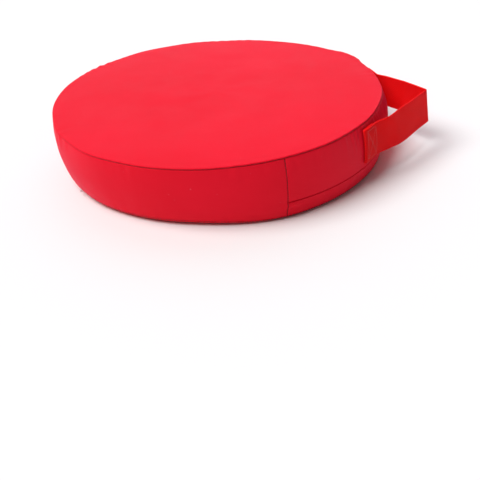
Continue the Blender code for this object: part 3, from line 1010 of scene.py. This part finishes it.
def make_coil_finish():
    """Smooth nylon rod, slightly cloudy."""
    material, tree, shader = new_finish("zip_coil_nylon")
    cloud = noise(tree, 200.0)
    colour = blended(tree, cloud, (0.42, 0.008, 0.014), (0.62, 0.018, 0.030))
    tree.links.new(colour, shader.inputs["Base Color"])
    tree.links.new(mapped(tree, cloud, 0.25, 0.4), shader.inputs["Roughness"])
    tree.links.new(bumped(tree, cloud, 0.00005, 0.2), shader.inputs["Normal"])
    return material


tape_finish = make_tape_finish()
coil_finish = make_coil_finish()

# %% [markdown]
# ## Thin rods
#
# Zip coils and stitches are thin round rods. A curve object with a round bevel would do for one,
# but there are hundreds, so each rod is a stack of rings of points and all the rods of a piece go
# into one mesh.

# %% Sweep thin rods
ROD_SIDES = 6


def ring_round(first, second):
    """Directions of the points of a ring, from two rows of directions square to the rod."""
    turns = 2 * math.pi * np.arange(ROD_SIDES) / ROD_SIDES
    return (first[:, None] * np.cos(turns)[None, :, None]
            + second[:, None] * np.sin(turns)[None, :, None])


def tube(path, radius):
    """Rings of points of a round rod along a path."""
    path = np.asarray(path, dtype=float)
    ahead = np.roll(path, -1, 0) - np.roll(path, 1, 0)
    ahead[0], ahead[-1] = path[1] - path[0], path[-1] - path[-2]
    ahead = unit(ahead)
    outward = path * (1, 1, 0)
    outward = unit(outward - (outward * ahead).sum(1, keepdims=True) * ahead)
    return path[:, None] + ring_round(outward, np.cross(ahead, outward)) * radius


def rods_mesh(name, rods):
    """One mesh of several rods, each an array of rings of points, with closed ends."""
    corners, faces = [], []
    for rings in rods:
        count, sides = rings.shape[:2]
        base = len(corners)
        corners += [tuple(p) for p in rings.reshape(-1, 3)]
        for r in range(count - 1):
            for c in range(sides):
                n = (c + 1) % sides
                faces.append((base + r * sides + c, base + r * sides + n,
                              base + (r + 1) * sides + n, base + (r + 1) * sides + c))
        faces.append(tuple(base + c for c in range(sides))[::-1])
        faces.append(tuple(base + (count - 1) * sides + c for c in range(sides)))
    mesh = bpy.data.meshes.new(name)
    mesh.from_pydata(corners, [], faces)
    face_outward(mesh)
    return mesh

# %% [markdown]
# ## Tapes and coils
#
# Each tape is a narrow grid behind its strip. A coil is a long spiral of thin rod: its turns are
# swept along the band with a spacing of little more than a millimetre, and the upper coil starts
# half a turn later than the lower one, so that the two interlock.

# %% Lay the tapes and coils
TAPE_DEPTH = 0.0010         # behind the face of the band
TAPE = 0.0005
TAPE_WIDTH = 0.0104
TAPE_START = 0.0007         # from the middle of the zip to the edge of a tape
COIL_DEPTH = 0.0028
COIL_PITCH = 0.0012
COIL_ROD = 0.00028
COIL_OUT = 0.00085          # from the middle of the zip to the middle of a coil
COIL_HALF_HIGH, COIL_HALF_DEEP = 0.00045, 0.00050
TURN_STEPS = 8
ZIP_REACH = ZIP_END - 0.8   # bearing where tapes and coils end


def make_tape(name, side):
    """A woven tape, above the middle of the zip for side 1 and below it for side -1."""
    edge = ZIP_HEIGHT + side * TAPE_START
    levels = sorted((edge, edge + side * TAPE_WIDTH))[::-1]
    bearing, z = np.meshgrid(spread(-ZIP_REACH, ZIP_REACH, 200), spread(*levels, 9))
    points = on_band(bearing, z, TAPE_DEPTH, base=True)
    flat = np.stack([np.radians(bearing) * BELLY, z], -1)
    tape = add_piece("tape_" + name, grid_mesh("tape_" + name, points, flat), tape_finish,
                     "zip_tape", "cover", "zip_tape_" + name)
    thicken(tape, TAPE)


def make_coil(name, side):
    """A coil along the edge of a tape."""
    turns = int(math.radians(2 * ZIP_REACH) * BELLY / COIL_PITCH)
    steps = np.arange(turns * TURN_STEPS + 1)
    phase = steps / TURN_STEPS * 2 * math.pi + (math.pi if side > 0 else 0)
    bearing = -ZIP_REACH + 2 * ZIP_REACH * steps / steps[-1]
    z = ZIP_HEIGHT + side * (COIL_OUT + COIL_HALF_HIGH * np.cos(phase))
    path = on_band(bearing, z, COIL_DEPTH + COIL_HALF_DEEP * np.sin(phase), base=True)
    coil = rods_mesh("coil_" + name, [tube(path, COIL_ROD)])
    add_piece("coil_" + name, coil, coil_finish, "zip_coil", "cover", "zip_coil_" + name)
    print(f"{turns} turns of coil")


for zip_side, sign in (("upper", 1), ("lower", -1)):
    make_tape(zip_side, sign)
    make_coil(zip_side, sign)

# %% [markdown]
# ## The slider and its pull
#
# Slider and pull are small die castings, painted to match the cloth. Cast edges are never sharp,
# so the technical shapes get finely rounded edges, and the paint is thin where hands rub it.

# %% Cast the slider and the pull
CAST_ROUNDING = 0.00022


def make_painted_metal():
    """Painted zinc, with bare metal showing through in small rubbed spots."""
    material, tree, shader = new_finish("painted_metal")
    rubbed = mapped(tree, noise(tree, 700.0, 4.0), 0.0, 1.0, 0.70, 0.76)
    colour = blended(tree, rubbed, (0.50, 0.006, 0.012), (0.55, 0.52, 0.50))
    tree.links.new(colour, shader.inputs["Base Color"])
    tree.links.new(rubbed, shader.inputs["Metallic"])
    tree.links.new(mapped(tree, noise(tree, 300.0), 0.25, 0.45), shader.inputs["Roughness"])
    tree.links.new(bumped(tree, noise(tree, 1500.0, 2.0), 0.00004, 0.3), shader.inputs["Normal"])
    set_constants(shader, Coat_Weight=0.08, Coat_Roughness=0.2, Specular_IOR_Level=0.2)
    return material


def cast_piece(name, node, body):
    """A technical shape with finely rounded edges."""
    mesh = frame["nodes"][node].data.copy()
    piece = add_piece(name, mesh, painted_metal, "zip_metal", body, node)
    piece.matrix_world = frame["nodes"][node].matrix_world.copy()
    bevel = piece.modifiers.new("rounding", "BEVEL")
    bevel.width = CAST_ROUNDING
    bevel.segments = 3
    bevel.limit_method = "ANGLE"
    bevel.angle_limit = math.radians(40)
    apply_modifiers(piece)
    piece.data.set_sharp_from_angle(angle=math.radians(50))


painted_metal = make_painted_metal()
cast_piece("slider_casting", "zip_slider", "slider")
cast_piece("pull_casting", "zip_pull", "pull")

# %% [markdown]
# ## Coarse red webbing
#
# The handle is one length of flat webbing with a coarse weave: fat threads that cross over and
# under. A bump rounds their crowns, and painted shade darkens the gaps between them. Light sinks a
# little way into the fibres, and their fuzz brightens where the strap turns away. The weave
# follows the map of the strap, along and across.

# %% Make the webbing finish
WEBBING_PITCH = (0.0015, 0.0013)            # thread to thread, along and across


def make_webbing_finish():
    """Coarse polypropylene webbing."""
    material, tree, shader = new_finish("coarse_red_webbing")
    threads, top = weave(tree, *WEBBING_PITCH)
    colour = blended(tree, mapped(tree, top, 0.0, 1.0, -0.4, 0.6),
                     (0.88, 0.0060, 0.0080), (1.00, 0.0110, 0.0150))
    # painted shade: the gaps between the threads are darkened towards a deep red
    colour = blended(tree, mapped(tree, threads, 0.45, 0.0, 0.0, 0.40), colour,
                     (0.50, 0.0020, 0.0028))
    tree.links.new(colour, shader.inputs["Base Color"])
    tree.links.new(mapped(tree, noise(tree, 80.0), 0.40, 0.55), shader.inputs["Roughness"])
    fibre = bumped(tree, noise(tree, 2500.0, 2.0), 0.00008, 0.3)
    tree.links.new(bumped(tree, threads, 0.00035, 0.8, fibre), shader.inputs["Normal"])
    set_constants(shader, Specular_IOR_Level=0.02, Subsurface_Weight=0.6,
                  Subsurface_Radius=(1.0, 0.12, 0.12), Subsurface_Scale=0.004,
                  Sheen_Weight=0.25, Sheen_Roughness=0.4, Sheen_Tint=(1.0, 0.06, 0.07, 1.0))
    return material


webbing_finish = make_webbing_finish()

# %% [markdown]
# ## The handle
#
# The strap could be a bent ribbon, but its character is in three places: each end is folded under
# and sewn down flat, the front leg lifts off and bends outward before it runs to the tip, and the
# tip itself is a hard crease from being packed flat. So its plan is drawn as a path, beginning
# with the folded ends.

# %% Fold the ends of the handle
WEBBING = 0.0014
UNDER_LAYER = 0.0011        # middle of the folded-under layer, over the band
OVER_LAYER = 0.0027         # middle of the layer on top
STRAP_MIDDLE = (STRAP_LOW + STRAP_HIGH) / 2
STRAP_HALF = (STRAP_HIGH - STRAP_LOW) / 2


def plan_on_band(bearing, over):
    """Plan point of the webbing at a bearing, this far outside the band."""
    radius = float(band_base(np.array(bearing), np.array(STRAP_MIDDLE))) + over
    turn = math.radians(bearing)
    return Vector((radius * math.cos(turn), radius * math.sin(turn)))


def sewn_end(side):
    """Plan points of one folded end, from the tucked tip to the root on top."""
    tucked_in = [plan_on_band(side * b, UNDER_LAYER) for b in spread(ROOT + 1.0, FOLD, 12)]
    centre = plan_on_band(side * FOLD, (UNDER_LAYER + OVER_LAYER) / 2)
    outward = centre.normalized()
    along = Vector((-outward.y, outward.x)) * side
    bend = (OVER_LAYER - UNDER_LAYER) / 2
    turn = [centre + (along * math.sin(a) - outward * math.cos(a)) * bend
            for a in spread(0, math.pi, 9)[1:-1]]
    on_top = [plan_on_band(side * b, OVER_LAYER) for b in spread(FOLD, ROOT, 16)]
    return tucked_in + turn + on_top


print(f"each folded end has {len(sewn_end(1))} plan points")

# %% [markdown]
# ## The loop of the handle
#
# Between the sewn ends the loop has five corners: the two roots, a soft bend in each leg and the
# hard crease at the tip. Each corner is cut off by an arc of its own radius, and the whole path
# is then walked in even steps, so that the weave keeps its size.

# %% Draw the plan of the handle
STEP = 0.0009
FRONT_BEND = Vector((0.1850, -0.0410))
TIP = Vector((STRAP_REACH - WEBBING / 2, 0.0150))
REAR_BEND = Vector((0.1935, 0.0400))
# one radius for each corner: front root, front bend, tip, rear bend, rear root
CORNER_RADII = (0.004, 0.016, 0.0016, 0.040, 0.005)


def rounded(points, radii):
    """A polyline with each inner corner replaced by an arc of its own radius."""
    path = [points[0]]
    for before, corner, after, radius in zip(points, points[1:], points[2:], radii):
        back, on = (before - corner).normalized(), (after - corner).normalized()
        half = back.angle(on) / 2
        reach = min(radius / math.tan(half), (before - corner).length * 0.49,
                    (after - corner).length * 0.49)
        radius = reach * math.tan(half)
        middle = corner + (back + on).normalized() * (radius / math.sin(half))
        first = corner + back * reach - middle
        sweep = first.angle_signed(corner + on * reach - middle)
        for share in spread(0, 1, 9):
            turned = first.copy()
            turned.rotate(Matrix.Rotation(-sweep * share, 2))
            path.append(middle + turned)
    return path + [points[-1]]


def strap_plan():
    """The whole strap in plan, resampled to even steps, with how far along it each point is."""
    front, rear = sewn_end(-1), sewn_end(1)
    corners = [front[-3], front[-1], FRONT_BEND, TIP, REAR_BEND, rear[-1], rear[-3]]
    loop = rounded(corners, CORNER_RADII)
    points = np.array(front[:-2] + loop + rear[-3::-1], dtype=float)
    keep = np.r_[True, np.linalg.norm(np.diff(points, axis=0), axis=1) > 1e-6]
    points = points[keep]
    run = np.r_[0, np.cumsum(np.linalg.norm(np.diff(points, axis=0), axis=1))]
    even = np.linspace(0, run[-1], int(run[-1] / STEP))
    return np.stack([np.interp(even, run, points[:, i]) for i in (0, 1)], -1), even


print(f"the handle takes {strap_plan()[1][-1] * 1000:.0f} mm of webbing")

# %% [markdown]
# ## Carrying the webbing along its plan
#
# A flat section with soft edges is carried along the plan. Where it is sewn down it follows the
# band. Further out it twists, leans and waves a little, as webbing does that has been folded and
# handled.

# %% Shape the webbing
TWIST_OUT, TWIST_TURN = 0.0009, 0.0017      # outward, and turned about the strap's middle
RISE, RISE_TURN = 0.0008, 0.0007
LEAN_AT_BEND = 0.0024       # how far the upper edge leans in at the front bend
WAVE = 0.0004
TWIST_LENGTH = 0.040        # the twist is full this far outside the band


def strap_section():
    """(across, through) round the section of the webbing, with softly rounded edges."""
    half = STRAP_HALF - WEBBING / 2
    face = spread(-half, half, 30)
    bend = [math.pi * k / 6 for k in range(1, 6)]
    section = [(z, WEBBING / 2) for z in face]
    section += [(half + WEBBING / 2 * math.sin(a), WEBBING / 2 * math.cos(a)) for a in bend]
    section += [(z, -WEBBING / 2) for z in face[::-1]]
    section += [(-half - WEBBING / 2 * math.sin(a), -WEBBING / 2 * math.cos(a)) for a in bend]
    return section


def strap_cling(plan):
    """How closely the webbing follows the band: 1 where sewn, 0 once it has left."""
    over = np.hypot(plan[:, 0], plan[:, 1]) - BELLY
    return smooth((0.010 - over) / 0.006)


def band_dip(bearing, z):
    """How far stiff webbing follows the curve of the band away from the strap's middle."""
    return 0.55 * (band_base(bearing, z) - band_base(bearing, 0 * z + STRAP_MIDDLE))


def strap_points(plan, run, across, through):
    """Points of the strap: a row for each step along it and a column for each of its section."""
    ahead = unit(np.gradient(plan, axis=0))
    right = np.stack([ahead[:, 1], -ahead[:, 0]], -1)
    bearing = np.degrees(np.arctan2(plan[:, 1], plan[:, 0]))[:, None] + 0 * across
    z = STRAP_MIDDLE + across[None, :] + 0 * bearing
    dip = band_dip(bearing, z) * strap_cling(plan)[:, None]
    place = plan[:, None] + right[:, None] * through[None, :, None]
    place = place + unit(plan)[:, None] * dip[..., None]
    reach = smooth((plan[:, 0] - BELLY) / TWIST_LENGTH)[:, None]
    level = across[None, :] / STRAP_HALF
    lean = LEAN_AT_BEND * hump(plan[:, 0] - 0.190, 0.010) * smooth(-plan[:, 1] / 0.010)
    wave = WAVE * reach * np.sin(run[:, None] / 0.031 + across[None, :] * 40)
    place = place + right[:, None] * wave[..., None]
    place[..., 0] += reach * (TWIST_OUT - TWIST_TURN * level) - lean[:, None] * level
    return np.concatenate([place, (z + reach * (RISE + RISE_TURN * level))[..., None]], -1)


print(f"{len(strap_section())} points round the section of the webbing")

# %% [markdown]
# ## One strap for two bodies
#
# In the technical model the loop swings on its own body, while the sewn ends belong to the cover.
# Webbing does not come apart there, so one mesh covers all three; it is attached to no body.

# %% Weave the handle
def strap_mesh(points, run, across):
    """The closed mesh of the strap, with its cloth map along and across."""
    count, sides = points.shape[:2]
    faces, places = [], []
    for r in range(count - 1):
        for c in range(sides):
            n = (c + 1) % sides
            faces.append((r * sides + c, r * sides + n, (r + 1) * sides + n, (r + 1) * sides + c))
            places += [(run[r], across[c]), (run[r], across[n]),
                       (run[r + 1], across[n]), (run[r + 1], across[c])]
    for row, order in ((0, -1), (count - 1, 1)):
        faces.append(tuple(row * sides + c for c in range(sides))[::order])
        places += [(run[row], across[c]) for c in range(sides)][::order]
    mesh = bpy.data.meshes.new("webbing_handle")
    mesh.from_pydata(points.reshape(-1, 3), [], faces)
    mesh.uv_layers.new(name="cloth").data.foreach_set("uv", np.array(places).ravel())
    face_outward(mesh)
    return mesh


def make_handle():
    """The strap: its section carried along its plan."""
    plan, run = strap_plan()
    across, through = np.array(strap_section()).T
    mesh = strap_mesh(strap_points(plan, run, across, through), run, across)
    piece = add_piece("webbing_handle", mesh, webbing_finish, "webbing", None,
                      "handle_end_front", "handle_end_rear", "handle_loop")
    piece.data.set_sharp_from_angle(angle=math.radians(60))
    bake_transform(piece)


make_handle()

# %% [markdown]
# ## Sewing thread
#
# A machine stitch is a short length of thread that rises from one hole and dives into the next.
# Every stitch here is its own small bowed rod. Along the seams the stitches sit deep between the
# panels, and their thread is darkened with painted shade, so they read as a line of dark dashes;
# on the handle they lie on top, in the thread's own paler red.

# %% Make thread and stitches
STITCH_STEPS = 7


def make_thread_finish(name, deep, pale):
    """Twisted polyester thread."""
    material, tree, shader = new_finish(name)
    twist = noise(tree, 3000.0, 2.0)
    tree.links.new(blended(tree, twist, deep, pale), shader.inputs["Base Color"])
    tree.links.new(bumped(tree, twist, 0.00006, 0.5), shader.inputs["Normal"])
    set_constants(shader, Roughness=0.5, Sheen_Weight=0.2)
    return material


def stitch_rods(line, outward, pitch, length, thread, height):
    """Rings of points for each stitch along a line, bowed outward."""
    line, outward = np.asarray(line, dtype=float), np.asarray(outward, dtype=float)
    run = np.r_[0, np.cumsum(np.linalg.norm(np.diff(line, axis=0), axis=1))]
    rods = []
    for k in range(int(run[-1] / pitch)):
        middle = (k + 0.5) * pitch
        spots = middle + np.linspace(-length / 2, length / 2, STITCH_STEPS)
        centre = np.stack([np.interp(spots, run, line[:, i]) for i in range(3)], -1)
        normal = unit(np.stack([np.interp(spots, run, outward[:, i]) for i in range(3)], -1))
        bow = np.cos(np.linspace(-math.pi / 2, math.pi / 2, STITCH_STEPS))[:, None]
        centre = centre + normal * (height * bow - thread * (1 - bow))
        side = np.cross(unit(np.gradient(centre, axis=0)), normal)
        width = thread * (0.55 + 0.45 * bow)[:, :, None]
        rods.append(centre[:, None] + ring_round(normal, side) * width)
    return rods


def radial(points):
    """Outward directions of points round the rim."""
    return unit(points * (1, 1, 0))


def sew(name, rods, finish, *nodes):
    """A piece of thread work made of many stitches."""
    print(len(rods), "stitches")
    add_piece(name, rods_mesh(name, rods), finish, "thread", "cover", *nodes)


# painted shade: the seam thread is a far darker copy of the red thread, for the shade in the
# groove
seam_thread = make_thread_finish("dark_seam_thread", (0.16, 0.0020, 0.005), (0.30, 0.004, 0.010))
handle_thread = make_thread_finish("pale_handle_thread", (0.72, 0.045, 0.055), (0.88, 0.13, 0.14))

# %% [markdown]
# ## Sewing the seams
#
# Two seams run round the cushion, along the uneven rim, and two stand upright where the lengths
# of the band meet. A tiny loop of thread hangs loose at the lower edge, where the machine stopped.

# %% Sew the seams
SEAM_STITCH = (0.0029, 0.0020, 0.00024, 0.0001)     # pitch, length, half thickness, bow
LOOP_BEARING = 222.0
LOOP_THREAD = 0.00018
UPRIGHT_DEPTH = 0.0004
UPRIGHT_MARGIN = 0.0012     # an upright seam stops this far from the round ones


def sew_round_seam(name, offset, depth, z, *extra):
    """Stitches right round the cushion, with any extra bits of thread."""
    line = around(seam_bearings, SEAM_RADIUS + offset - depth, z + 0 * seam_bearings)
    rods = stitch_rods(line, radial(line), *SEAM_STITCH) + list(extra)
    sew(name + "_seam_stitches", rods, seam_thread, name + "_seam_thread")


def sew_upright_seam(name, side):
    """Stitches down one end of the zip's length."""
    z = np.linspace(SEAM_TOP - UPRIGHT_MARGIN, SEAM_BOTTOM + UPRIGHT_MARGIN, 60)
    line = on_band(0 * z + side * ZIP_END, z, UPRIGHT_DEPTH)
    rods = stitch_rods(line, radial(line), *SEAM_STITCH)
    sew(f"side_seam_stitches_{name}", rods, seam_thread, f"side_seam_thread_{name}")


def stray_loop(bearing):
    """A tiny loop of loose thread that hangs out of the bottom seam."""
    turn = math.radians(bearing)
    out = Vector((math.cos(turn), math.sin(turn), 0))
    along = Vector((-math.sin(turn), math.cos(turn), 0))
    radius = SEAM_RADIUS + float(lower_offset(np.array(bearing)))
    start = out * radius + Vector((0, 0, SEAM_BOTTOM + float(lower_lift(np.array(bearing)))))
    path = [start + out * (0.0022 * math.sin(a)) + along * (0.0013 * math.cos(a) * (1 + a / 4))
            + Vector((0, 0, -0.0007 * math.sin(a / 2))) for a in spread(0.0, 3.3, 14)]
    return tube([tuple(p) for p in path], LOOP_THREAD)


seam_bearings = np.linspace(0, 360, 1441)
sew_round_seam("top", seam_offset(seam_bearings), 0.0004, SEAM_TOP)
sew_round_seam("bottom", lower_offset(seam_bearings), 0.0003,
               SEAM_BOTTOM + lower_lift(seam_bearings), stray_loop(LOOP_BEARING))
sew_upright_seam("front", -1)
sew_upright_seam("rear", 1)

# %% [markdown]
# ## Sewing down the handle
#
# Each folded end of the webbing is held by a box of stitches with two diagonals, the usual way to
# hold a strap that is pulled in any direction.

# %% Sew the handle down
TAB_STITCH = (0.0027, 0.0021, 0.00026, 0.0002)      # pitch, length, half thickness, bow
TAB_MARGIN = 0.0030         # from the edges and the fold of the webbing
ROOT_MARGIN = 0.0012        # from where it leaves the band


def sew_tab(name, side, node):
    """A box with diagonals on one folded end of the handle."""
    low, high = STRAP_LOW + TAB_MARGIN, STRAP_HIGH - TAB_MARGIN
    inner = ROOT + math.degrees(ROOT_MARGIN / BELLY)
    outer = FOLD - math.degrees(TAB_MARGIN / BELLY)
    box = [(outer, low), (outer, high), (inner, high), (inner, low), (outer, low)]
    runs = [box, [(outer, low), (inner, high)], [(outer, high), (inner, low)]]
    rods = []
    for corners in runs:
        for (b0, z0), (b1, z1) in zip(corners, corners[1:]):
            bearing = side * np.linspace(b0, b1, 24)
            z = np.linspace(z0, z1, 24)
            radius = band_base(bearing, 0 * z + STRAP_MIDDLE) + band_dip(bearing, z)
            line = around(bearing, radius + OVER_LAYER + WEBBING / 2, z)
            rods += stitch_rods(line, radial(line), *TAB_STITCH)
    sew(name, rods, handle_thread, node)


sew_tab("handle_stitches_front", -1, "handle_stitching_front")
sew_tab("handle_stitches_rear", 1, "handle_stitching_rear")

# %% [markdown]
# ## The floor and the light
#
# Cloth shows its shape in soft light. A wide sun above and to the left gives the shape, a weaker
# one from behind lifts the rear edge, a pale surround low down fills the shadows, and a plain pale
# floor catches them.

# %% Set up the studio
FLOOR_SIZE = 60
WALL_LOW, WALL_HIGH = 0.07, 0.18            # where the surround fades, as a share of its height
WALL_LIGHT, CEILING_LIGHT = 1.00, 0.12


def soft_sun(name, bearing, height, spread_angle, power, colour=(1.0, 1.0, 1.0)):
    """A far, wide lamp from a bearing and a height, both in degrees."""
    lamp = bpy.data.lights.new(name, "SUN")
    lamp.color = colour
    lamp.angle = math.radians(spread_angle)
    lamp.energy = power
    holder = bpy.data.objects.new(name, lamp)
    turn, rise = math.radians(bearing), math.radians(height)
    source = Vector((math.cos(turn) * math.cos(rise), math.sin(turn) * math.cos(rise),
                     math.sin(rise)))
    holder.rotation_euler = source.to_track_quat("Z", "Y").to_euler()
    bpy.context.scene.collection.objects.link(holder)
    print(f"{name} lamp from {bearing} degrees, {height} high")


def make_studio():
    """Floor, surround and lamps."""
    bpy.ops.mesh.primitive_plane_add(size=FLOOR_SIZE, location=(0, 0, 0))
    floor = bpy.context.object
    floor.name = "floor"
    material, _, shader = new_finish("pale_floor")
    shader.inputs["Base Color"].default_value = (0.82, 0.82, 0.82, 1.0)
    shader.inputs["Roughness"].default_value = 0.8
    floor.data.materials.append(material)
    world = bpy.data.worlds.new("studio")
    world.use_nodes = True
    tree = world.node_tree
    direction = tree.nodes.new("ShaderNodeTexCoord").outputs["Generated"]
    split = tree.nodes.new("ShaderNodeSeparateXYZ")
    tree.links.new(direction, split.inputs["Vector"])
    wall = mapped(tree, split.outputs["Z"], WALL_LIGHT, CEILING_LIGHT, WALL_LOW, WALL_HIGH)
    tree.nodes["Background"].inputs["Color"].default_value = (1.0, 1.0, 1.0, 1.0)
    tree.links.new(wall, tree.nodes["Background"].inputs["Strength"])
    bpy.context.scene.world = world
    soft_sun("key", 203, 60, 45, 3.45)
    soft_sun("back", 100, 36, 70, 0.9, (1.0, 0.88, 1.0))
    bpy.context.scene.view_settings.view_transform = "Standard"


make_studio()
